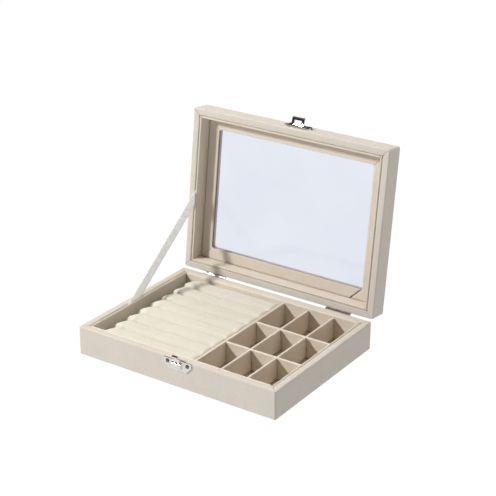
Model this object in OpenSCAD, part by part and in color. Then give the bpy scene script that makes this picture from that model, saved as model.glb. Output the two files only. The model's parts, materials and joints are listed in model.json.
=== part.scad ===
/* [Box] */
// Width of the box, left to right
body_w = 200; // [190:1:260]
// Depth of the box, front to back
body_d = 150; // [140:1:200]
// Height of the base
base_h = 26; // [22:1:40]
// Height of the closed lid
lid_h = 18.9; // [16:0.1:30]
// Angle of the lid from closed, as the stay holds it
open_angle = 96.6; // [60:0.1:100]

/* [Boards] */
// Thickness of a fabric-covered wall
wall_t = 6.2; // [5:0.1:8]
// Thickness of the bottom board and of the lid's top board
board_t = 3; // [2:0.1:4]
// Thickness of the card liners inside the walls
liner_t = 2; // [1.5:0.1:3]
// Open slot between a side wall and its liner
side_slot = 0.6; // [0.5:0.1:1.2]
// Radius of the padded rim edges
rim_r = 1; // [0.6:0.1:2]

/* [Ring tray] */
// Width of the ring tray, left to right
tray_w = 105.4; // [90:0.1:120]
// Height of the roll tops above the table
roll_top = 23; // [18:0.5:24]

/* [Compartments] */
// Thickness of the covered dividers
divider_t = 2.2; // [1.5:0.1:3]
// Height of the divider tops above the table
divider_top = 24; // [20:0.5:25]

/* [Window] */
// Width of the glass that shows
window_w = 160; // [120:1:170]
// Depth of the glass that shows
window_d = 112; // [80:1:118]
// Thickness of the glass
glass_t = 1.6; // [1.2:0.1:2]

/* [Fittings] */
// Centre of each hinge, left and right of the middle
hinge_x = 66; // [40:1:80]
// Width of a hinge
hinge_w = 25; // [20:1:30]
// Centre of the clasp, right of the middle
clasp_x = 5; // [-10:0.5:10]
// Width of the clasp's two plates
clasp_w = 28; // [26:1:32]
// Width of the ribbon stay
ribbon_w = 10; // [10:0.5:14]

/* [Hidden] */
$fn = 48;

// Colours of the cloth, the rolls and the metal
cloth_colour = [0.86, 0.82, 0.76];
liner_colour = [0.78, 0.72, 0.64];
roll_colour = [0.94, 0.91, 0.84];
metal_colour = [0.75, 0.76, 0.78];
ribbon_colour = [0.90, 0.90, 0.86];

// The closed lid starts just above the base's rim
lid_gap = 0.1;
lid_z = base_h + lid_gap;
lid_top = lid_z + lid_h;
outer_x = body_w / 2;
outer_y = body_d / 2;
corner_r = 1.5;

// How far a piece sinks into its neighbour in a union, and how far a cut runs past a face
touch = 0.01;
over = 1;

// Inner faces of the walls, then of the liners
wall_in_x = outer_x - wall_t;
wall_in_y = outer_y - wall_t;
end_slot = 0.2;
in_x = wall_in_x - side_slot - liner_t;
in_y = wall_in_y - end_slot - liner_t;
liner_drop = 0.2;
liner_r = 0.8;

// Ring tray and compartments; each roll and divider is a node, so their numbers are fixed
roll_count = 8;
cell_cols = 3;
cell_rows = 3;
tray_board_t = 1.5;
pad_t = 1;
tray_right = -in_x + tray_w;
roll_pitch = 2 * in_y / roll_count;
roll_play = 0.25;
roll_w = roll_pitch - roll_play;
roll_end_gap = 2.5;
partition_t = 2.4;
cells_left = tray_right + partition_t;
cell_w = (in_x - cells_left - (cell_cols - 1) * divider_t) / cell_cols;
cell_d = (2 * in_y - (cell_rows - 1) * divider_t) / cell_rows;
divider_foot = board_t + pad_t;
divider_play = 0.2;
slot_z = (divider_foot + divider_top) / 2;

// Window strips hold the glass against the top board
strip_t = 2.8;
strip_gap = 0.3;
strip_z = lid_top - board_t - strip_t;
glass_lap = 3;
glass_play = 0.2;
open_seam = 1.3;
window_r = 3;

// Hinges turn about an axis just behind the back walls
axis_out = 1.1;
hinge_y = outer_y + axis_out;
hinge_z = base_h + lid_gap / 2;
leaf_t = 0.6;
leaf_h = 10;
barrel_r = 1;
hinge_pin_r = 0.5;
pin_play = 0.05;
knuckle_play = 0.15;
web_gap = 0.05;
hinge_knuckles = 5;
hinge_screw_gap = 15;
hinge_screw_drop = 6.5;

// Screws
shank_r = 0.8;
shank_l = 4.5;
hinge_head_r = 1.6;
hinge_head_h = 0.5;
clasp_head_r = 1.9;
clasp_head_h = 0.9;
slot_w = 0.5;
slot_deep = 0.25;

// Clasp: a catch plate on the base, a hasp plate and its flap on the lid
plate_t = 0.8;
plate_chamfer = 5.5;
clasp_screw_gap = 20;
catch_low = base_h - 10.3;
catch_high = base_h - 0.6;
catch_screw_z = base_h - 3.6;

// The catch's pressed boss and its hook: widths, and reach out from the box's front
boss_w = 9;
boss_out = 2.8;
boss_low = catch_low + 1.5;
boss_high = catch_high - 1.6;
boss_slope = 2;
boss_shoulder = 1;
hook_w = 5.6;
hook_t = 0.9;
hook_in = 0.7;
hook_out = 5.6;
hook_root = catch_high - 2;
hook_bend = catch_high + 1.6;
hook_tip = catch_high + 4.2;
hook_lip = 2;

// The hasp's plate, its ears and the flap that hangs between them
hasp_axis_z = base_h + 6;
hasp_axis_out = 1.3;
hasp_barrel_r = 1.1;
hasp_pin_r = 0.5;
hasp_low = hasp_axis_z + 1.4;
hasp_high = hasp_axis_z + 9.5;
hasp_screw_z = hasp_axis_z + 6;
flap_w = 12.6;
flap_side = 2.6;
flap_l = 7;
flap_bar = 1.7;
flap_t = 0.8;
flap_slot_top = 1.5;
flap_in = 0.6;
thumb_out = 1.2;
thumb_drop = 1.2;
flap_rest = 104;
ear_w = (clasp_w - flap_w) / 4;

// Ribbon stay: where its middle leaves the two side slots, measured from the middle of the box
ribbon_base_y = -6;
ribbon_lid_y = 9;
ribbon_t = 0.4;
ribbon_tuck = 11;

// ---------- shared shapes ----------

// A flat rectangle with true arcs at its corners, from the origin
module soft_rect(x, y, r) {
    translate([r, 0]) square([x - 2 * r, y]);
    translate([0, r]) square([x, y - 2 * r]);
    for (px = [r, x - r], py = [r, y - r])
        translate([px, py]) circle(r);
}

// A centred plate with rounded upright corners
module rounded_plate(w, d, h, r) {
    linear_extrude(h) translate([-w / 2, -d / 2]) soft_rect(w, d, r);
}

// A straight bar along X with a rounded section, its outer face on Y = 0
module soft_bar(length, t, h, r) {
    rotate([90, 0, 90]) translate([0, 0, -length / 2])
        linear_extrude(length) soft_rect(t, h, r);
}

// A bar whose two ends are cut at 45 degrees, to meet its neighbours at the box's corners
module mitred_rail(length, t, h, r) {
    intersection() {
        soft_bar(length, t, h, r);
        linear_extrude(h)
            polygon([[-length / 2, 0], [length / 2, 0], [length / 2 - t, t], [t - length / 2, t]]);
    }
}

// One wall of a four-sided frame on the box's outline
module frame_wall(side, h) {
    across = side == "front" || side == "back";
    angle = (across ? 0 : 90) + (side == "back" || side == "left" ? 180 : 0);
    intersection() {
        rotate([0, 0, angle])
            translate([0, across ? -outer_y : -outer_x, 0])
                mitred_rail(across ? body_w : body_d, wall_t, h, rim_r);
        rounded_plate(body_w, body_d, h, corner_r);
    }
}

// A liner strip inside one wall; the side liners run the whole depth
module frame_liner(side, h) {
    flip = (side == "back" || side == "right") ? 180 : 0;
    rotate([0, 0, flip])
        if (side == "front" || side == "back")
            translate([0, end_slot - wall_in_y, 0]) soft_bar(2 * in_x, liner_t, h, liner_r);
        else
            translate([side_slot - wall_in_x, 0, 0]) rotate([0, 0, 90])
                mirror([0, 1, 0]) soft_bar(2 * wall_in_y, liner_t, h, liner_r);
}

// Puts a shape drawn on the closed lid into the open position
module on_open_lid() {
    translate([0, hinge_y, hinge_z]) rotate([-open_angle, 0, 0])
        translate([0, -hinge_y, -hinge_z]) children();
}

// A screw along +Y with its head's outer face toward -Y and its seat on Y = 0
module screw(head_r, head_h) {
    rotate([-90, 0, 0]) cylinder(r = shank_r, h = shank_l);
    difference() {
        rotate([90, 0, 0]) cylinder(r1 = head_r, r2 = head_r * 0.7, h = head_h);
        translate([-head_r, -head_h - touch, -slot_w / 2]) cube([2 * head_r, slot_deep, slot_w]);
    }
}

// A hole for a screw, along Y through Y = 0
module screw_hole() {
    translate([0, -wall_t, 0]) rotate([-90, 0, 0])
        cylinder(r = shank_r, h = wall_t + shank_l + over);
}

// Places children at the two screws of a clasp plate
module at_clasp_screws(z) {
    for (side = [-1, 1])
        translate([clasp_x + side * clasp_screw_gap / 2, -outer_y, z]) children();
}

// Places children at the screws of both hinges, facing out of the back
module at_hinge_screws(z) {
    for (side = [-1, 1], step = [-1, 1])
        translate([side * hinge_x + step * hinge_screw_gap / 2, outer_y, z])
            rotate([0, 0, 180]) children();
}

// ---------- base ----------

module base_bottom() {
    color(cloth_colour)
        translate([-wall_in_x, -wall_in_y, 0]) cube([2 * wall_in_x, 2 * wall_in_y, board_t]);
}

module base_wall(side) {
    color(cloth_colour) difference() {
        frame_wall(side, base_h);
        if (side == "front")
            at_clasp_screws(catch_screw_z) screw_hole();
        if (side == "back")
            at_hinge_screws(hinge_z - hinge_screw_drop) screw_hole();
    }
}

module base_liner(side) {
    color(liner_colour) translate([0, 0, board_t])
        frame_liner(side, base_h - board_t - liner_drop);
}

module ring_tray_board() {
    color(roll_colour) translate([-in_x, -in_y, board_t]) cube([tray_w, 2 * in_y, tray_board_t]);
}

// A padded roll: straight sides and a round top, running left to right
module ring_roll(index) {
    foot = board_t + tray_board_t;
    r = roll_w / 2;
    length = tray_w - roll_end_gap;
    color(roll_colour)
        translate([tray_right - length, -in_y + (index - 0.5) * roll_pitch, 0])
            rotate([90, 0, 90]) linear_extrude(length) {
                translate([-r, foot]) square([roll_w, roll_top - r - foot]);
                translate([0, roll_top - r]) circle(r);
            }
}

module partition() {
    color(cloth_colour) translate([tray_right, 0, board_t]) rotate([0, 0, 90])
        mirror([0, 1, 0]) soft_bar(2 * in_y, partition_t, divider_top - board_t, liner_r);
}

// A divider running front to back, slotted from above where the cross dividers pass
module long_divider(col) {
    x = cells_left + col * cell_w + (col - 1) * divider_t;
    color(cloth_colour) difference() {
        translate([x, 0, divider_foot]) rotate([0, 0, 90]) mirror([0, 1, 0])
            soft_bar(2 * (in_y - divider_play), divider_t, divider_top - divider_foot, liner_r);
        for (row = [1 : cell_rows - 1])
            translate([x - over, -in_y + row * cell_d + (row - 1) * divider_t - divider_play, slot_z])
                cube([divider_t + 2 * over, divider_t + 2 * divider_play, divider_top]);
    }
}

// A divider running left to right, slotted from below where the long dividers pass
module cross_divider(row) {
    y = -in_y + row * cell_d + (row - 1) * divider_t;
    length = in_x - cells_left;
    color(cloth_colour) difference() {
        translate([cells_left + length / 2, y, divider_foot])
            soft_bar(length - 2 * divider_play, divider_t, divider_top - divider_foot, liner_r);
        for (col = [1 : cell_cols - 1])
            translate([cells_left + col * cell_w + (col - 1) * divider_t - divider_play, y - over, 0])
                cube([divider_t + 2 * divider_play, divider_t + 2 * over, slot_z]);
    }
}

module cell_floor_pad() {
    color(liner_colour) translate([cells_left, -in_y, board_t])
        cube([in_x - cells_left, 2 * in_y, pad_t]);
}

// ---------- clasp ----------

// A plate on the front face with its two far corners cut off; up is 1 or -1, toward the cut end
module clasp_plate(near_z, far_z, up) {
    half = clasp_w / 2;
    translate([clasp_x, -outer_y, 0]) rotate([90, 0, 0]) linear_extrude(plate_t)
        polygon([
            [-half, near_z], [half, near_z], [half, far_z - up * plate_chamfer],
            [half - plate_chamfer, far_z], [plate_chamfer - half, far_z],
            [-half, far_z - up * plate_chamfer]
        ]);
}

// Extrudes a side view, drawn as reach out from the front and height, about the clasp's middle
module clasp_profile(w) {
    translate([clasp_x, -outer_y, 0]) rotate([90, 0, -90])
        translate([0, 0, -w / 2]) linear_extrude(w) children();
}

module boss_side_view() {
    polygon([
        [0, boss_low], [boss_out, boss_low + boss_slope], [boss_out, boss_high - boss_shoulder],
        [boss_out - boss_shoulder, boss_high], [0, boss_high]
    ]);
}

// The hook stands up in front of the lid, leans out and ends in a level lip
module hook_side_view() {
    stem = hook_in + hook_t;
    lip_x = hook_out - hook_lip;
    polygon([
        [0, hook_root], [stem, hook_root], [stem, hook_bend], [lip_x, hook_tip], [hook_out, hook_tip],
        [hook_out, hook_tip + hook_t], [lip_x - hook_t / 2, hook_tip + hook_t],
        [hook_in, hook_bend + hook_t / 2], [hook_in, hook_root + hook_t], [0, hook_root + hook_t]
    ]);
}

module catch_plate() {
    color(metal_colour) difference() {
        union() {
            clasp_plate(catch_high, catch_low, -1);
            clasp_profile(boss_w) boss_side_view();
            clasp_profile(hook_w) hook_side_view();
        }
        at_clasp_screws(catch_screw_z) screw_hole();
    }
}

module catch_screws() {
    color(metal_colour) at_clasp_screws(catch_screw_z)
        translate([0, -plate_t, 0]) screw(clasp_head_r, clasp_head_h);
}

// Places children on the flap's hinge line, with X along it
module at_hasp_axis() {
    translate([clasp_x, -outer_y - hasp_axis_out, hasp_axis_z]) children();
}

module hasp_plate() {
    ear_x = (flap_w + ear_w) / 2 + knuckle_play;
    color(metal_colour) on_open_lid() difference() {
        union() {
            clasp_plate(hasp_low, hasp_high, 1);
            for (side = [-1, 1]) {
                at_hasp_axis() translate([side * ear_x, 0, 0]) rotate([0, 90, 0])
                    cylinder(r = hasp_barrel_r, h = ear_w, center = true);
                translate([clasp_x + side * ear_x - ear_w / 2, -outer_y - plate_t, hasp_axis_z])
                    cube([ear_w, plate_t, hasp_low - hasp_axis_z + touch]);
            }
        }
        at_hasp_axis() rotate([0, 90, 0])
            cylinder(r = hasp_pin_r, h = clasp_w, center = true);
        at_clasp_screws(hasp_screw_z) screw_hole();
    }
}

module hasp_screws() {
    color(metal_colour) on_open_lid() at_clasp_screws(hasp_screw_z)
        translate([0, -plate_t, 0]) screw(clasp_head_r, clasp_head_h);
}

module hasp_pin() {
    color(metal_colour) on_open_lid() at_hasp_axis() rotate([0, 90, 0])
        cylinder(r = hasp_pin_r, h = flap_w + 2 * (ear_w + knuckle_play), center = true);
}

// The flap as it hangs from its hinge line over the catch: a slotted plate with a thumb lip
module hanging_flap() {
    front = -flap_in - flap_t;
    difference() {
        union() {
            rotate([0, 90, 0]) cylinder(r = hasp_barrel_r, h = flap_w, center = true);
            translate([-flap_w / 2, front, -flap_l]) cube([flap_w, flap_t, flap_l]);
            rotate([90, 0, 90]) translate([0, 0, -flap_w / 2]) linear_extrude(flap_w)
                polygon([
                    [-flap_in, -flap_l], [front, flap_t - flap_l],
                    [front - thumb_out, flap_t - flap_l - thumb_drop],
                    [-flap_in - thumb_out, -flap_l - thumb_drop]
                ]);
        }
        rotate([0, 90, 0]) cylinder(r = hasp_pin_r + pin_play, h = flap_w + 2 * over, center = true);
        translate([flap_side - flap_w / 2, front - over, flap_bar - flap_l])
            cube([flap_w - 2 * flap_side, flap_t + 2 * over, flap_l - flap_bar - flap_slot_top]);
    }
}

// The flap at rest, swung out from where it hangs when the box is shut
module hasp_flap() {
    color(metal_colour) on_open_lid() at_hasp_axis() rotate([-flap_rest, 0, 0]) hanging_flap();
}

// ---------- hinges ----------

// One leaf on a back wall: up is 1 for the lid's leaf and -1 for the base's
module hinge_leaf(up) {
    pitch = hinge_w / hinge_knuckles;
    odd = up == 1 ? 1 : 0;
    plate_near = hinge_z + up * (barrel_r + knuckle_play);
    plate_far = hinge_z + up * leaf_h;
    difference() {
        union() {
            translate([-hinge_w / 2, outer_y, min(plate_near, plate_far)])
                cube([hinge_w, leaf_t, abs(plate_far - plate_near)]);
            for (k = [odd : 2 : hinge_knuckles - 1]) {
                translate([(k + 0.5) * pitch - hinge_w / 2, hinge_y, hinge_z]) rotate([0, 90, 0])
                    cylinder(r = barrel_r, h = pitch - knuckle_play, center = true);
                translate([k * pitch - hinge_w / 2 + knuckle_play / 2, outer_y + web_gap,
                           min(hinge_z, plate_near)])
                    cube([pitch - knuckle_play, leaf_t, barrel_r + knuckle_play + touch]);
            }
        }
        translate([0, hinge_y, hinge_z]) rotate([0, 90, 0])
            cylinder(r = hinge_pin_r + pin_play, h = hinge_w + 2 * over, center = true);
        for (step = [-1, 1])
            translate([step * hinge_screw_gap / 2, outer_y, hinge_z + up * hinge_screw_drop])
                screw_hole();
    }
}

module base_hinge_leaf(side) {
    color(metal_colour) translate([side * hinge_x, 0, 0]) hinge_leaf(-1);
}

module lid_hinge_leaf(side) {
    color(metal_colour) on_open_lid() translate([side * hinge_x, 0, 0]) hinge_leaf(1);
}

module hinge_pin(side) {
    color(metal_colour) translate([side * hinge_x, hinge_y, hinge_z]) rotate([0, 90, 0])
        cylinder(r = hinge_pin_r, h = hinge_w, center = true);
}

module base_hinge_screws() {
    color(metal_colour) at_hinge_screws(hinge_z - hinge_screw_drop)
        translate([0, -leaf_t, 0]) screw(hinge_head_r, hinge_head_h);
}

module lid_hinge_screws() {
    color(metal_colour) on_open_lid() at_hinge_screws(hinge_z + hinge_screw_drop)
        translate([0, -leaf_t, 0]) screw(hinge_head_r, hinge_head_h);
}

// ---------- lid ----------

module lid_wall(side) {
    color(cloth_colour) on_open_lid() difference() {
        translate([0, 0, lid_z]) frame_wall(side, lid_h);
        if (side == "front")
            at_clasp_screws(hasp_screw_z) screw_hole();
        if (side == "back")
            at_hinge_screws(hinge_z + hinge_screw_drop) screw_hole();
    }
}

module lid_liner(side) {
    color(liner_colour) on_open_lid() translate([0, 0, lid_z + liner_drop])
        frame_liner(side, lid_h - board_t - liner_drop);
}

// The top board, flush between the walls, with the window cut through it
module lid_top_board() {
    color(cloth_colour) on_open_lid() translate([0, 0, lid_top - board_t]) difference() {
        translate([-wall_in_x, -wall_in_y, 0]) cube([2 * wall_in_x, 2 * wall_in_y, board_t]);
        translate([0, 0, -over]) rounded_plate(window_w, window_d, board_t + 2 * over, window_r);
    }
}

// Plan of one window strip before the window is cut. Its ends are mitred, except at the back right
// corner, where the seam leans the other way and stands open.
module strip_plan(side) {
    ox = in_x - strip_gap;
    oy = in_y - strip_gap;
    edge_x = window_w / 2;
    edge_y = window_d / 2;
    wx = edge_x - window_r;
    wy = edge_y - window_r;
    band = oy - edge_y;
    seam_x = edge_x - open_seam;
    if (side == "front")
        polygon([[-ox, -oy], [ox, -oy], [wx, -wy], [-wx, -wy]]);
    if (side == "left")
        polygon([[-ox, -oy], [-wx, -wy], [-wx, wy], [-ox, oy]]);
    if (side == "back")
        polygon([[-ox, oy], [-wx, wy], [seam_x, wy], [seam_x, edge_y], [seam_x - band, oy]]);
    if (side == "right")
        polygon([
            [ox, -oy], [ox, oy], [edge_x - band, oy], [edge_x, edge_y], [edge_x, wy], [wx, wy], [wx, -wy]
        ]);
}

// The strip's lip laps over the glass, which lies in its rebate
module window_strip(side) {
    lip = strip_t - glass_t;
    rebate_x = window_w + 2 * (glass_lap + glass_play);
    rebate_y = window_d + 2 * (glass_lap + glass_play);
    color(liner_colour) on_open_lid() translate([0, 0, strip_z]) difference() {
        linear_extrude(strip_t) strip_plan(side);
        translate([0, 0, -over]) rounded_plate(window_w, window_d, strip_t + 2 * over, window_r);
        translate([-rebate_x / 2, -rebate_y / 2, lip]) cube([rebate_x, rebate_y, strip_t]);
    }
}

module window_glass() {
    w = window_w + 2 * glass_lap;
    d = window_d + 2 * glass_lap;
    color([0.85, 0.92, 0.95, 0.35]) on_open_lid()
        translate([-w / 2, -d / 2, lid_top - board_t - glass_t]) cube([w, d, glass_t]);
}

// ---------- ribbon ----------

// A flat strip from the base's left side slot to the lid's, tucked into both
module ribbon_stay() {
    back = hinge_y - ribbon_lid_y;
    lid_end = [hinge_y - back * cos(open_angle), hinge_z + back * sin(open_angle)];
    run = lid_end - [ribbon_base_y, hinge_z];
    color(ribbon_colour)
        translate([-wall_in_x + side_slot - ribbon_t, ribbon_base_y, hinge_z])
            rotate([atan2(run[1], run[0]), 0, 0])
                translate([0, -ribbon_tuck, -ribbon_w / 2])
                    cube([ribbon_t, norm(run) + 2 * ribbon_tuck, ribbon_w]);
}

// ---------- nodes ----------

base_bottom();
for (side = ["front", "back", "left", "right"]) {
    base_wall(side);
    base_liner(side);
    lid_wall(side);
    lid_liner(side);
    window_strip(side);
}
ring_tray_board();
for (index = [1 : roll_count])
    ring_roll(index);
partition();
long_divider(1);  // long_divider_left
long_divider(2);  // long_divider_right
cross_divider(1);  // cross_divider_front
cross_divider(2);  // cross_divider_back
cell_floor_pad();
catch_plate();
catch_screws();
base_hinge_leaf(-1);  // base_hinge_leaf_left
base_hinge_leaf(1);  // base_hinge_leaf_right
hinge_pin(-1);  // hinge_pin_left
hinge_pin(1);  // hinge_pin_right
base_hinge_screws();
ribbon_stay();
lid_top_board();
window_glass();
lid_hinge_leaf(-1);  // lid_hinge_leaf_left
lid_hinge_leaf(1);  // lid_hinge_leaf_right
lid_hinge_screws();
hasp_plate();
hasp_screws();
hasp_pin();
hasp_flap();
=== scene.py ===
"""Looks for a jewellery box: covered boards, stuffed ring rolls, a satin stay, glass and plated fittings.

Lengths are in metres, in the CAD's frame: +X to the box's right, -Y to its front, +Z up. Shapes are worked
out in millimetres and scaled when they become meshes.
"""

import json
import math

import bmesh
import bpy
from mathutils import Matrix, Vector, noise


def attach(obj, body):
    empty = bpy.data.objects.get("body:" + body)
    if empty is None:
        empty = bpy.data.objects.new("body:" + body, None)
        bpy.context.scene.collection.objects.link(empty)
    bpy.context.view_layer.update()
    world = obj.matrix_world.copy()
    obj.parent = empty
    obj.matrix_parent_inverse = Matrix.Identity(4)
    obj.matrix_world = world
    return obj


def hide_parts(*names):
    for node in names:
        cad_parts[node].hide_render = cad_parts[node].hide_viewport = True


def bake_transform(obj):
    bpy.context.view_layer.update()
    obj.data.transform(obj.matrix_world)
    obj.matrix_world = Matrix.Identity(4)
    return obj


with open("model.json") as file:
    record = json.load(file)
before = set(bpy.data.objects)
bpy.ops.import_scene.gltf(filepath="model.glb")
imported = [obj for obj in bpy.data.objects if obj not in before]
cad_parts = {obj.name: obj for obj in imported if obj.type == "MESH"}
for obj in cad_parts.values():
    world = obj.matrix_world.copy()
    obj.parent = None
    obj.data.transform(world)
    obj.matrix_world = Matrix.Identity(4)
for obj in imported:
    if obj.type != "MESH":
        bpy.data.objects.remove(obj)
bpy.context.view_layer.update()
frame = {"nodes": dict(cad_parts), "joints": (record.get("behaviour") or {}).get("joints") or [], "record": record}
nodes = frame["nodes"]
scene = bpy.context.scene
MM = 0.001
TO_METRES = Matrix.Scale(MM, 4)
TO_MM = Matrix.Scale(1 / MM, 4)
SIDES = ("front", "back", "left", "right")


# ---------- materials ----------


def new_material(name):
    """A material, its node tree and its Principled shader."""
    material = bpy.data.materials.new(name)
    material.use_nodes = True
    tree = material.node_tree
    return material, tree, tree.nodes["Principled BSDF"]


def object_coordinates(tree):
    """The piece's own coordinates, in metres."""
    return tree.nodes.new("ShaderNodeTexCoord").outputs["Object"]


def noise_texture(tree, vector, scale, detail=3.0, roughness=0.55):
    """A noise whose features are about 1 / scale metres."""
    texture = tree.nodes.new("ShaderNodeTexNoise")
    texture.inputs["Scale"].default_value = scale
    texture.inputs["Detail"].default_value = detail
    texture.inputs["Roughness"].default_value = roughness
    tree.links.new(vector, texture.inputs["Vector"])
    return texture.outputs["Fac"]


def ramp(tree, fac, points):
    """A colour ramp from (position, colour) pairs."""
    node = tree.nodes.new("ShaderNodeValToRGB")
    elements = node.color_ramp.elements
    while len(elements) < len(points):
        elements.new(0.5)
    for element, (position, colour) in zip(elements, points):
        element.position = position
        element.color = (*colour, 1.0)
    tree.links.new(fac, node.inputs["Fac"])
    return node.outputs["Color"]


def multiply(tree, a, b):
    """Multiplies two colours."""
    node = tree.nodes.new("ShaderNodeMix")
    node.data_type = "RGBA"
    node.blend_type = "MULTIPLY"
    node.inputs["Factor"].default_value = 1.0
    tree.links.new(a, node.inputs["A"])
    tree.links.new(b, node.inputs["B"])
    return node.outputs["Result"]


def bump(tree, height, strength, distance, base=None):
    """A bump from a height, laid over another bump's normal if one is given."""
    node = tree.nodes.new("ShaderNodeBump")
    node.inputs["Strength"].default_value = strength
    node.inputs["Distance"].default_value = distance
    tree.links.new(height, node.inputs["Height"])
    if base is not None:
        tree.links.new(base, node.inputs["Normal"])
    return node.outputs["Normal"]


def pile_cloth(name, dark, light, sheen):
    """Short-pile velvet: brushed patches of lighter and darker nap over a fine, fibrous pile."""
    material, tree, shader = new_material(name)
    vector = object_coordinates(tree)
    brushed = noise_texture(tree, vector, 45.0, 4.0, 0.6)
    fibres = noise_texture(tree, vector, 1500.0, 2.0, 0.7)
    patch = ramp(tree, brushed, [(0.3, dark), (0.7, light)])
    speck = ramp(tree, fibres, [(0.3, (0.88, 0.88, 0.88)), (0.62, (1.0, 1.0, 1.0))])
    tree.links.new(multiply(tree, patch, speck), shader.inputs["Base Color"])
    soft = bump(tree, brushed, 0.25, 0.4 * MM)
    tree.links.new(bump(tree, fibres, 0.5, 0.12 * MM, soft), shader.inputs["Normal"])
    shader.inputs["Roughness"].default_value = 0.95
    shader.inputs["Specular IOR Level"].default_value = 0.15
    shader.inputs["Sheen Weight"].default_value = sheen
    shader.inputs["Sheen Roughness"].default_value = 0.45
    shader.inputs["Sheen Tint"].default_value = (1.0, 0.97, 0.92, 1.0)
    return material


def velour():
    """The rolls' plush: a pale pile over soft foam, which glows a little where light enters it."""
    material = pile_cloth("roll_cloth", (0.68, 0.645, 0.55), (0.71, 0.675, 0.58), 0.25)
    shader = material.node_tree.nodes["Principled BSDF"]
    shader.inputs["Subsurface Weight"].default_value = 0.6
    shader.inputs["Subsurface Radius"].default_value = (1.0, 0.9, 0.75)
    shader.inputs["Subsurface Scale"].default_value = 3 * MM
    return material


def satin():
    """Woven satin: fine threads across the ribbon under a soft gloss."""
    material, tree, shader = new_material("ribbon_satin")
    threads = tree.nodes.new("ShaderNodeTexWave")
    threads.bands_direction = "Z"
    threads.inputs["Scale"].default_value = 900.0
    threads.inputs["Distortion"].default_value = 0.6
    tree.links.new(object_coordinates(tree), threads.inputs["Vector"])
    tone = ramp(tree, threads.outputs["Fac"], [(0.0, (0.93, 0.95, 0.88)), (1.0, (0.97, 0.98, 0.93))])
    tree.links.new(tone, shader.inputs["Base Color"])
    tree.links.new(bump(tree, threads.outputs["Fac"], 0.2, 0.05 * MM), shader.inputs["Normal"])
    shader.inputs["Roughness"].default_value = 0.45
    shader.inputs["Sheen Weight"].default_value = 0.2
    shader.inputs["Subsurface Weight"].default_value = 0.8
    shader.inputs["Subsurface Radius"].default_value = (1.0, 1.0, 0.9)
    shader.inputs["Subsurface Scale"].default_value = 2 * MM
    return material


def clear_glass():
    """Thin window glass: a faint cool tint with a few smears, under a weak mirror reflection."""
    material, tree, shader = new_material("window_glass")
    smear = noise_texture(tree, object_coordinates(tree), 18.0)
    tone = ramp(tree, smear, [(0.35, (0.87, 0.89, 0.935)), (0.65, (0.89, 0.905, 0.945))])
    clear = tree.nodes.new("ShaderNodeBsdfTransparent")
    tree.links.new(tone, clear.inputs["Color"])
    shader.inputs["Base Color"].default_value = (0.9, 0.92, 0.95, 1.0)
    shader.inputs["Metallic"].default_value = 1.0
    shader.inputs["Roughness"].default_value = 0.02
    mix = tree.nodes.new("ShaderNodeMixShader")
    mix.inputs["Fac"].default_value = 0.03
    tree.links.new(clear.outputs["BSDF"], mix.inputs[1])
    tree.links.new(shader.outputs["BSDF"], mix.inputs[2])
    tree.links.new(mix.outputs["Shader"], tree.nodes["Material Output"].inputs["Surface"])
    return material


def plated(name, dull, bright):
    """Mirror-bright plated steel with a faint grain and worn, duller patches."""
    material, tree, shader = new_material(name)
    wear = noise_texture(tree, object_coordinates(tree), 350.0, 4.0)
    tone = ramp(tree, wear, [(0.3, dull), (0.7, bright)])
    tree.links.new(tone, shader.inputs["Base Color"])
    rough = ramp(tree, wear, [(0.3, (0.022, 0.022, 0.022)), (0.7, (0.012, 0.012, 0.012))])
    tree.links.new(rough, shader.inputs["Roughness"])
    tree.links.new(bump(tree, wear, 0.02, 0.1 * MM), shader.inputs["Normal"])
    shader.inputs["Metallic"].default_value = 1.0
    return material


PAINT = {
    "cover_cloth": pile_cloth("cover_cloth", (0.67, 0.61, 0.54), (0.70, 0.64, 0.57), 0.15),
    "liner_cloth": pile_cloth("liner_cloth", (0.72, 0.64, 0.54), (0.75, 0.67, 0.57), 0.15),
    "roll_cloth": velour(),
    "ribbon_satin": satin(),
    "window_glass": clear_glass(),
    "nickel_plate": plated("nickel_plate", (0.66, 0.62, 0.58), (0.78, 0.74, 0.69)),
}
# What a few nodes wear in place of their slot's material: painted shade on the cells' floor and the screws, and
# painted light on the base's insides.
# Painted shade: the cells' floor pad gets a dark brown cloth that stands in for the deep shade at the foot of the
# cells.
CELL_FLOOR_PAINTED_SHADE = pile_cloth("cell_floor_painted_shade", (0.34, 0.27, 0.19), (0.38, 0.31, 0.22), 0.1)
# Painted light: a lighter, warmer copy of the liner cloth for the partition, the dividers and the base's liners,
# standing in for light that the lamps do not bring to these inner faces.
INSIDES_PAINTED_LIGHT = pile_cloth("insides_painted_light", (0.79, 0.705, 0.59), (0.82, 0.735, 0.62), 0.15)
# Painted shade: the screws' plating is made dark, standing in for the shade in their recesses and the dark
# surroundings mirrored in their heads.
SCREW_PAINTED_SHADE = plated("screw_painted_shade", (0.12, 0.11, 0.10), (0.24, 0.22, 0.20))
SLOT_OF = {part["node"]: part["material_slot"] for part in frame["record"]["subparts"]}
BODY_OF = {node: body for body, members in frame["record"]["behaviour"]["bodies"].items() for node in members}


def paint_of(node):
    """The material of a node's slot, but painted lighter for the base's insides, and painted dark as shade for the
    cells' floor and the screws.
    """
    if node == "cell_floor_pad":
        return CELL_FLOOR_PAINTED_SHADE
    if node == "partition" or "divider" in node or node.startswith("base_liner"):
        return INSIDES_PAINTED_LIGHT
    if node.endswith("_screws"):
        return SCREW_PAINTED_SHADE
    return PAINT[SLOT_OF[node]]


def paint_cad_nodes():
    """Gives every CAD node its material."""
    for node in SLOT_OF:
        materials = nodes[node].data.materials
        materials.clear()
        materials.append(paint_of(node))


# ---------- pieces that stand for CAD nodes ----------


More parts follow.
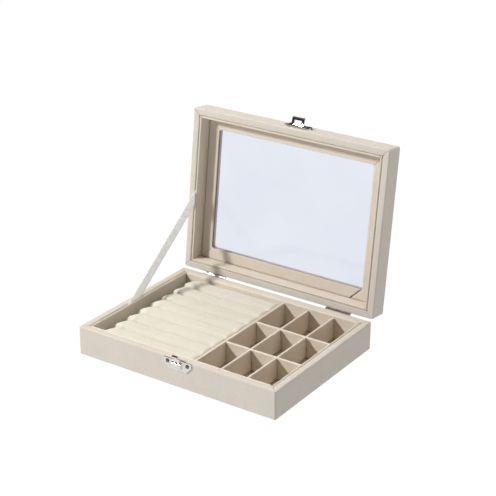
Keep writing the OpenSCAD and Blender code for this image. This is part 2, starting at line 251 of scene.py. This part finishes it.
def stand_for(node, name, bm, matrix=TO_METRES, sharp=None):
    """Makes a smooth-shaded piece of a bmesh in millimetres, in place of a CAD node.

    sharp is the angle in degrees past which its edges stay sharp.
    """
    mesh = bpy.data.meshes.new(name)
    bm.normal_update()
    bm.to_mesh(mesh)
    bm.free()
    mesh.transform(matrix)
    mesh.polygons.foreach_set("use_smooth", [True] * len(mesh.polygons))
    if sharp:
        mesh.set_sharp_from_angle(angle=math.radians(sharp))
    piece = bpy.data.objects.new(name, mesh)
    scene.collection.objects.link(piece)
    mesh.materials.append(paint_of(node))
    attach(piece, BODY_OF[node])
    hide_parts(node)
    return piece


def with_modifiers(bm, settings):
    """Runs modifiers, given as (type, {setting: value}) pairs, on a bmesh and returns the result."""
    mesh = bpy.data.meshes.new("work")
    bm.to_mesh(mesh)
    bm.free()
    work = bpy.data.objects.new("work", mesh)
    scene.collection.objects.link(work)
    for kind, values in settings:
        modifier = work.modifiers.new(kind.lower(), kind)
        for key, value in values.items():
            setattr(modifier, key, value)
    result = bmesh.new()
    result.from_object(work, bpy.context.evaluated_depsgraph_get())
    bpy.data.objects.remove(work)
    bpy.data.meshes.remove(mesh)
    return result


def node_bmesh(node):
    """A clean copy of a CAD node's mesh, in millimetres."""
    bm = bmesh.new()
    bm.from_mesh(nodes[node].data)
    bm.transform(TO_MM)
    bmesh.ops.remove_doubles(bm, verts=bm.verts, dist=0.001)
    bmesh.ops.dissolve_limit(bm, angle_limit=math.radians(1), verts=bm.verts, edges=bm.edges)
    return bm


def softened(node, voxel, edge):
    """A CAD node's solid with rounded edges, as an even mesh of small quads in millimetres."""
    steps = []
    if edge:
        steps.append(("BEVEL", {"width": edge, "segments": 3, "angle_limit": math.radians(40)}))
    steps.append(("REMESH", {"mode": "VOXEL", "voxel_size": voxel, "use_smooth_shade": True}))
    steps.append(("SMOOTH", {"factor": 0.5, "iterations": 3}))
    return with_modifiers(node_bmesh(node), steps)


# ---------- opened lid ----------


def open_lid_matrix():
    """From the closed lid, in millimetres, to where the lid is drawn, in metres."""
    joint = next(j for j in frame["joints"] if j["name"] == "lid_hinge")
    axis = Vector(joint["pos_m"])
    turn = Matrix.Rotation(-math.radians(joint["range_deg"][1]), 4, "X")
    return Matrix.Translation(axis) @ turn @ Matrix.Translation(-axis) @ TO_METRES


OPEN_LID = open_lid_matrix()
CLOSED_LID = OPEN_LID.inverted()


def node_box(node, matrix):
    """Lowest and highest corners of a node in the millimetre frame that a matrix leads to."""
    points = [matrix @ vertex.co for vertex in nodes[node].data.vertices]
    low = Vector([min(p[i] for p in points) for i in range(3)])
    high = Vector([max(p[i] for p in points) for i in range(3)])
    return low, high


# ---------- covered walls ----------

# The boards' rounded edges, the box's rounded upright corners, and the mesh's steps.
RIM_R = 1.0
CORNER_R = 1.5
STEP = 1.3
TURN_STEPS = 5
# The cloth: creased at each mitre, folded down some corners, a little sunk at the rims, and uneven.
CREASE_WIDTH = 0.45
CREASE_DEEP = 0.45
FOLD_DEEP = 0.7
RIM_SUNK = 0.1
NAP_WAVE = 0.08
NAP_PATCH = 9


def stops(start, end, step):
    """Even stops from start up to, but not including, end."""
    count = max(1, round(abs(end - start) / step))
    return [start + (end - start) * i / count for i in range(count)]


def wall_section(thick, tall):
    """A wall's section as (depth, height) points: straight runs in small steps and quarter-round corners."""
    r = RIM_R
    turns = [(r, tall - r, 180), (thick - r, tall - r, 90), (thick - r, r, 0), (r, r, -90)]
    starts = [(0, r), (r, tall), (thick, tall - r), (thick - r, 0)]
    points = []
    for (cx, cz, first), (sx, sz) in zip(turns, starts):
        begin = (cx + r * math.cos(math.radians(first)), cz + r * math.sin(math.radians(first)))
        run = math.dist((sx, sz), begin)
        count = max(1, round(run / STEP))
        for i in range(count):
            points.append((sx + (begin[0] - sx) * i / count, sz + (begin[1] - sz) * i / count))
        for i in range(TURN_STEPS):
            angle = math.radians(first - 90 * i / TURN_STEPS)
            points.append((cx + r * math.cos(angle), cz + r * math.sin(angle)))
    return points


def section_normals(points):
    """Outward normals of a closed clockwise outline."""
    normals = []
    for i in range(len(points)):
        before = points[i - 1]
        after = points[(i + 1) % len(points)]
        run = Vector((after[0] - before[0], after[1] - before[1])).normalized()
        normals.append((-run.y, run.x))
    return normals


def ring_places():
    """Places from -1 to 1 along a wall, crowded toward its mitred ends."""
    crowded = [0.0, 0.002, 0.004, 0.007, 0.011, 0.016, 0.023]
    first_even = crowded[-1] + 0.012
    even = stops(first_even, 2 - first_even, 0.0135)
    places = crowded + even + [2 - place for place in reversed(crowded)]
    return [place - 1 for place in places]


def round_corner(x, y, half):
    """Moves a point past the box's rounded upright corner onto it; half is half of the wall's length."""
    over = abs(x) - (half - CORNER_R)
    reach = math.hypot(over, CORNER_R - y)
    if over > 0 and y < CORNER_R and reach > CORNER_R:
        over *= CORNER_R / reach
        y = CORNER_R - (CORNER_R - y) * CORNER_R / reach
        x = math.copysign(half - CORNER_R + over, x)
    return x, y


def sunk_cloth(point, from_mitre, on_rim, on_fold):
    """How far the cloth lies inside its board's outline, in millimetres."""
    crease = math.exp(-((from_mitre / CREASE_WIDTH) ** 2))
    deep = max(CREASE_DEEP * on_rim, FOLD_DEEP * on_fold)
    return RIM_SUNK * on_rim + deep * crease - NAP_WAVE * noise.noise(point / NAP_PATCH)


def wall_mesh(side, length, half_depth, thick, tall, z, folded_end):
    """One covered wall, mitred and rounded like its board, with a crease in the cloth at each mitre.

    A wall that stands on the floor has its rim on top, and the shut lid's has it underneath. folded_end is
    1 or -1 at an end where the cloth's fold also runs down the outer corner, and 0 for none.
    """
    section = wall_section(thick, tall)
    normals = section_normals(section)
    angle = {"front": 0, "right": 90, "back": 180, "left": 270}[side]
    place = Matrix.Rotation(math.radians(angle), 4, "Z") @ Matrix.Translation((0, -half_depth, z))
    half = length / 2
    bm = bmesh.new()
    rings = []
    for along in ring_places():
        ring = []
        for (depth, height), (inward, upward) in zip(section, normals):
            x, y = round_corner(along * (half - depth), depth, half)
            from_mitre = (half - depth) * (1 - abs(along)) / math.sqrt(2)
            on_rim = max(0.0, upward if z == 0 else -upward)
            on_fold = max(0.0, -inward) if along * folded_end > 0 else 0.0
            sunk = sunk_cloth(place @ Vector((x, y, height)), from_mitre, on_rim, on_fold)
            ring.append(bm.verts.new(place @ Vector((x, y - inward * sunk, height - upward * sunk))))
        rings.append(ring)
    for a, b in zip(rings, rings[1:]):
        for k in range(len(section)):
            n = (k + 1) % len(section)
            bm.faces.new((a[k], b[k], b[n], a[n]))
    bm.faces.new(rings[0])
    bm.faces.new(reversed(rings[-1]))
    bmesh.ops.recalc_face_normals(bm, faces=bm.faces)
    return bm


def build_walls(prefix, to_closed, to_drawn, folded_ends):
    """The four walls of the base or the lid; folded_ends maps a side to its folded_end."""
    low, high = node_box(f"{prefix}_front", to_closed)
    left = node_box(f"{prefix}_left", to_closed)[0].x
    width = -2 * left
    depth = -2 * low.y
    for side in SIDES:
        across = side in ("front", "back")
        bm = wall_mesh(
            side,
            width if across else depth,
            (depth if across else width) / 2,
            high.y - low.y,
            high.z - low.z,
            max(0.0, low.z),
            folded_ends.get(side, 0),
        )
        stand_for(f"{prefix}_{side}", f"{prefix}_{side}_cover", bm, to_drawn)


# ---------- boards, liners and dividers ----------

# How far the cloth rises and falls, how far the liners' free edges sway, and the size of each's patches.
CLOTH_WAVE = 0.12
CLOTH_PATCH = 7
LEAN = 0.35
LEAN_PATCH = 38


def build_soft_board(node, voxel=0.6, edge=0.0, lean=None):
    """A covered card or board whose cloth is a little uneven; lean sways its free edge sideways."""
    bm = softened(node, voxel, edge)
    low_z = min(v.co.z for v in bm.verts)
    high_z = max(v.co.z for v in bm.verts)
    for vertex in bm.verts:
        co = vertex.co
        vertex.co = co + vertex.normal * CLOTH_WAVE * noise.noise(co / CLOTH_PATCH)
        if lean:
            up = (co.z - low_z) / (high_z - low_z)
            sway = noise.noise(Vector((co.x, co.y, 0)) / LEAN_PATCH + Vector((0, 0, len(node))))
            vertex.co += Vector(lean) * sway * up
    stand_for(node, f"{node}_cloth", bm)


def build_flat_board(node):
    """A board whose covered edges are slightly round."""
    steps = [("BEVEL", {"width": 0.4, "segments": 3, "angle_limit": math.radians(40)})]
    stand_for(node, f"{node}_cloth", with_modifiers(node_bmesh(node), steps), sharp=35)


# ---------- fittings ----------


def build_fitting(node):
    """A plated fitting with its edges eased, so that they catch the light."""
    steps = [("BEVEL", {"width": 0.12, "segments": 2, "angle_limit": math.radians(35)})]
    stand_for(node, f"{node}_plated", with_modifiers(node_bmesh(node), steps), sharp=20)


# ---------- ring rolls ----------

ROLL_RINGS = 60
ROLL_SIDES = 36
# How strongly the rings crowd toward the left end: 1 is even.
RING_CROWDING = 1.4
# How much smaller than its room a roll is before it is stuffed, and how far in its ends are drawn.
ROLL_SLACK = 0.4
LEFT_END = 14.0
RIGHT_END = 2.5
# The least width and height of a drawn-in end, as parts of the roll's own.
TIP_WIDE = 0.25
TIP_TALL = 0.6
# How square the section is: 0 is a box, 1 an ellipse, and more is pinched.
ROUND_MIDDLE = 0.15
ROUND_END = 1.2
PLEATS = 9
PLEAT_DEEP = 0.04
# How uneven a roll's stuffing is, the length of its lumps, and how far apart in the noise the rolls lie.
LUMP = 0.012
LUMP_RUN = 16
NOISE_APART = 7.3
# The simulation's mesh is this much smaller than the millimetre shapes.
SIM_SCALE = 0.01
SIM_VOXEL = 1.1
SIM_FRAMES = 20


def roll_size(x, low, high):
    """How tall and how wide a roll is at x: 1 along its middle, less where its ends are drawn in."""
    left = min(1.0, (x - low.x) / LEFT_END)
    right = min(1.0, (high.x - x) / RIGHT_END)
    full = math.sqrt(1 - (1 - right) ** 2)
    return math.sqrt(1 - (1 - left) ** 2) * full, math.sin(math.pi / 2 * left) * full


def roll_ring(x, low, high, seed):
    """The outline of a slack roll at x: a broad round top on a flat foot, pleated where it is drawn in."""
    middle = (low.y + high.y) / 2
    wide = (high.y - low.y) / 2 - ROLL_SLACK
    tall = high.z - low.z - ROLL_SLACK
    tall_part, wide_part = roll_size(x, low, high)
    square = ROUND_END + (ROUND_MIDDLE - ROUND_END) * wide_part ** 2
    points = []
    for k in range(ROLL_SIDES):
        angle = 2 * math.pi * k / ROLL_SIDES
        c, s = math.cos(angle), math.sin(angle)
        pleat = 1 - PLEAT_DEEP * (1 - wide_part) * (1 + math.sin(PLEATS * angle + seed))
        lump = 1 + LUMP * noise.noise(Vector((x / LUMP_RUN, s, seed * NOISE_APART)))
        across = math.copysign(abs(c) ** square, c) * (TIP_WIDE + (1 - TIP_WIDE) * wide_part)
        up = (1 + math.copysign(abs(s) ** square, s)) / 2 * (TIP_TALL + (1 - TIP_TALL) * tall_part)
        points.append((x, middle + wide * across * pleat * lump, low.z + tall * up * pleat * lump))
    return points


def roll_mesh(node, seed):
    """A slack roll before it is stuffed, with its rings crowded toward its drawn-in left end."""
    low, high = node_box(node, TO_MM)
    bm = bmesh.new()
    rings = []
    for i in range(ROLL_RINGS + 1):
        x = low.x + (high.x - low.x) * (i / ROLL_RINGS) ** RING_CROWDING
        rings.append([bm.verts.new(point) for point in roll_ring(x, low, high, seed)])
    for a, b in zip(rings, rings[1:]):
        for k in range(ROLL_SIDES):
            n = (k + 1) % ROLL_SIDES
            bm.faces.new((a[k], a[n], b[n], b[k]))
    bm.faces.new(reversed(rings[0]))
    bm.faces.new(rings[-1])
    bmesh.ops.recalc_face_normals(bm, faces=bm.faces)
    return bm


def add_cloth(work):
    """Gives a work mesh a Cloth modifier that fills it like a cushion."""
    cloth = work.modifiers.new("cloth", "CLOTH")
    cloth.settings.quality = 5
    cloth.settings.use_pressure = True
    cloth.settings.uniform_pressure_force = 4.0
    cloth.settings.effector_weights.gravity = 0.0
    cloth.collision_settings.use_collision = False


def stuffed(meshes, cap):
    """Runs the cushion simulation on bmeshes in millimetres; no point moves further than cap."""
    works = []
    for bm in meshes:
        mesh = bpy.data.meshes.new("work")
        bm.transform(Matrix.Scale(SIM_SCALE, 4))
        bm.to_mesh(mesh)
        work = bpy.data.objects.new("work", mesh)
        scene.collection.objects.link(work)
        add_cloth(work)
        works.append(work)
    for step in range(1, SIM_FRAMES + 1):
        scene.frame_set(step)
    depsgraph = bpy.context.evaluated_depsgraph_get()
    for bm, work in zip(meshes, works):
        swollen = work.evaluated_get(depsgraph).to_mesh()
        for vertex, end in zip(bm.verts, swollen.vertices):
            move = (end.co - vertex.co) / SIM_SCALE
            vertex.co = vertex.co / SIM_SCALE + move * min(1.0, cap / max(move.length, 1e-6))
        mesh = work.data
        bpy.data.objects.remove(work)
        bpy.data.meshes.remove(mesh)
    scene.frame_set(1)
    return meshes


def build_rolls(names):
    """The ring rolls: cloth tubes that are stuffed, then kept inside their CAD boxes.

    Being cut off at its box is what leaves a roll flat where it meets its neighbours.
    """
    even = [
        ("REMESH", {"mode": "VOXEL", "voxel_size": SIM_VOXEL}),
        ("SMOOTH", {"factor": 0.5, "iterations": 1}),
    ]
    meshes = [with_modifiers(roll_mesh(node, seed), even) for seed, node in enumerate(names)]
    meshes = stuffed(meshes, 2 * ROLL_SLACK)
    for node, bm in zip(names, meshes):
        low, high = node_box(node, TO_MM)
        for vertex in bm.verts:
            vertex.co = [min(max(v, a), b) for v, a, b in zip(vertex.co, low, high)]
        roll = stand_for(node, f"{node}_velour", bm)


# ---------- ribbon stay ----------

# The ribbon's width and thickness in millimetres, and its mesh's runs along and across.
RIBBON_W = 10.0
RIBBON_T = 0.35
RIBBON_RUNS = 90
RIBBON_ACROSS = 8


def ribbon_ends():
    """The middles of the ribbon's two ends, low in the base's slot and high in the lid's."""
    corners = [TO_MM @ v.co for v in nodes["ribbon_stay"].data.vertices]
    low, high = node_box("ribbon_stay", TO_MM)
    lower = [c for c in corners if c.y < low.y + RIBBON_W]
    upper = [c for c in corners if c.y > high.y - RIBBON_W]
    return sum(lower, Vector()) / len(lower), sum(upper, Vector()) / len(upper)


def ribbon_mesh(start, end):
    """A thin, flat strip from start to end, in small runs that can bend."""
    along = (end - start).normalized()
    across = Vector((0, -along.z, along.y))
    bm = bmesh.new()
    rows = []
    for i in range(RIBBON_RUNS + 1):
        centre = start + (end - start) * (i / RIBBON_RUNS)
        offsets = [j / RIBBON_ACROSS - 0.5 for j in range(RIBBON_ACROSS + 1)]
        rows.append([bm.verts.new(centre + across * RIBBON_W * offset) for offset in offsets])
    for a, b in zip(rows, rows[1:]):
        for j in range(RIBBON_ACROSS):
            bm.faces.new((a[j], a[j + 1], b[j + 1], b[j]))
    return with_modifiers(bm, [("SOLIDIFY", {"thickness": RIBBON_T, "offset": 0.0})])


def build_ribbon():
    """The satin stay, taut between the two side slots."""
    start, end = ribbon_ends()
    stay = stand_for("ribbon_stay", "ribbon_stay_satin", ribbon_mesh(start, end))
    stay.parent = None
    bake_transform(stay)


# ---------- stage ----------

TARGET = Vector((22.4, 0.0, 102.2)) * MM
CAMERA_AZIMUTH = 34.07
CAMERA_ELEVATION = 23.45
CAMERA_ROLL = 0.35
CAMERA_DISTANCE = 1202.1 * MM
CAMERA_LENS = 105.84
WARM_WHITE = (1.0, 0.98, 0.95)


def direction(azimuth, elevation):
    """From the target toward a viewer: azimuth 0 is the box's front."""
    a, e = math.radians(azimuth), math.radians(elevation)
    return Vector((math.sin(a) * math.cos(e), -math.cos(a) * math.cos(e), math.sin(e)))


def look_at(obj, place, target, roll=0.0):
    """Puts an object at a place with its -Z axis toward the target."""
    turn = (target - place).to_track_quat("-Z", "Y").to_matrix().to_4x4()
    obj.matrix_world = Matrix.Translation(place) @ turn @ Matrix.Rotation(math.radians(roll), 4, "Z")


def add_camera():
    """The viewpoint that the looks are matched from."""
    data = bpy.data.cameras.new("camera")
    data.lens = CAMERA_LENS
    data.sensor_width = 36.0
    data.clip_end = 20.0
    camera = bpy.data.objects.new("camera", data)
    scene.collection.objects.link(camera)
    place = TARGET + CAMERA_DISTANCE * direction(CAMERA_AZIMUTH, CAMERA_ELEVATION)
    look_at(camera, place, TARGET, CAMERA_ROLL)
    scene.camera = camera


def add_softbox(name, azimuth, elevation, distance, size, watts, colour=(1.0, 1.0, 1.0)):
    """A square area light that faces the box."""
    data = bpy.data.lights.new(name, "AREA")
    data.shape = "SQUARE"
    data.size = size
    data.energy = watts
    data.color = colour
    light = bpy.data.objects.new(name, data)
    scene.collection.objects.link(light)
    target = Vector((0.0, 0.0, 0.06))
    look_at(light, target + distance * direction(azimuth, elevation), target)


def floor_paint():
    """A pale floor that glows, so that the shadows on it stay faint."""
    material, tree, shader = new_material("floor_paint")
    shader.inputs["Base Color"].default_value = (0.01, 0.01, 0.01, 1.0)
    shader.inputs["Roughness"].default_value = 1.0
    shader.inputs["Specular IOR Level"].default_value = 0.0
    shader.inputs["Emission Color"].default_value = (1.0, 1.0, 1.0, 1.0)
    shader.inputs["Emission Strength"].default_value = 1.0
    return material


def add_floor():
    """A wide plain floor."""
    bm = bmesh.new()
    bmesh.ops.create_grid(bm, x_segments=8, y_segments=8, size=6.0)
    mesh = bpy.data.meshes.new("floor")
    bm.to_mesh(mesh)
    bm.free()
    mesh.materials.append(floor_paint())
    floor = bpy.data.objects.new("floor", mesh)
    scene.collection.objects.link(floor)


def add_world():
    """A soft sky: dim at the horizon, which the fittings mirror, and brighter overhead."""
    world = bpy.data.worlds.new("studio")
    world.use_nodes = True
    tree = world.node_tree
    split = tree.nodes.new("ShaderNodeSeparateXYZ")
    tree.links.new(tree.nodes.new("ShaderNodeTexCoord").outputs["Generated"], split.inputs["Vector"])
    glow = [(0.0, 0.02), (0.7, 0.05), (1.0, 0.4)]
    sky = ramp(tree, split.outputs["Z"], [(height, (level, level, level)) for height, level in glow])
    background = tree.nodes["Background"]
    tree.links.new(sky, background.inputs["Color"])
    background.inputs["Strength"].default_value = 1.0
    scene.world = world


def build_box():
    """Covers every board, fills the rolls and finishes the fittings and the stay."""
    build_walls("base", TO_MM, TO_METRES, {})
    build_walls("lid", CLOSED_LID, OPEN_LID, {"front": 1, "right": -1})
    for side in SIDES:
        lean = (0, LEAN, 0) if side in ("front", "back") else (LEAN, 0, 0)
        build_soft_board(f"base_liner_{side}", lean=lean)
        build_soft_board(f"lid_liner_{side}")
        build_soft_board(f"window_strip_{side}", voxel=0.45, edge=0.9)
    for node in SLOT_OF:
        if node == "partition" or "divider" in node:
            build_soft_board(node, voxel=0.55)
    build_rolls([node for node in SLOT_OF if node.startswith("ring_roll_")])
    for node, slot in SLOT_OF.items():
        if slot == "nickel_plate":
            build_fitting(node)
    for node in ("base_bottom", "lid_top_board", "cell_floor_pad", "ring_tray_board"):
        build_flat_board(node)
    build_ribbon()


def add_studio():
    """Camera, floor, sky and lights: a small key at the front left, soft light from above and behind."""
    add_camera()
    add_floor()
    add_world()
    add_softbox("key", azimuth=-44, elevation=33, distance=1.7, size=0.2, watts=24)
    add_softbox("overhead", azimuth=180, elevation=76, distance=1.5, size=1.2, watts=15.5, colour=WARM_WHITE)
    add_softbox("fill", azimuth=125, elevation=20, distance=2.0, size=1.0, watts=3.6)
    scene.view_settings.view_transform = "Standard"


paint_cad_nodes()
build_box()
add_studio()
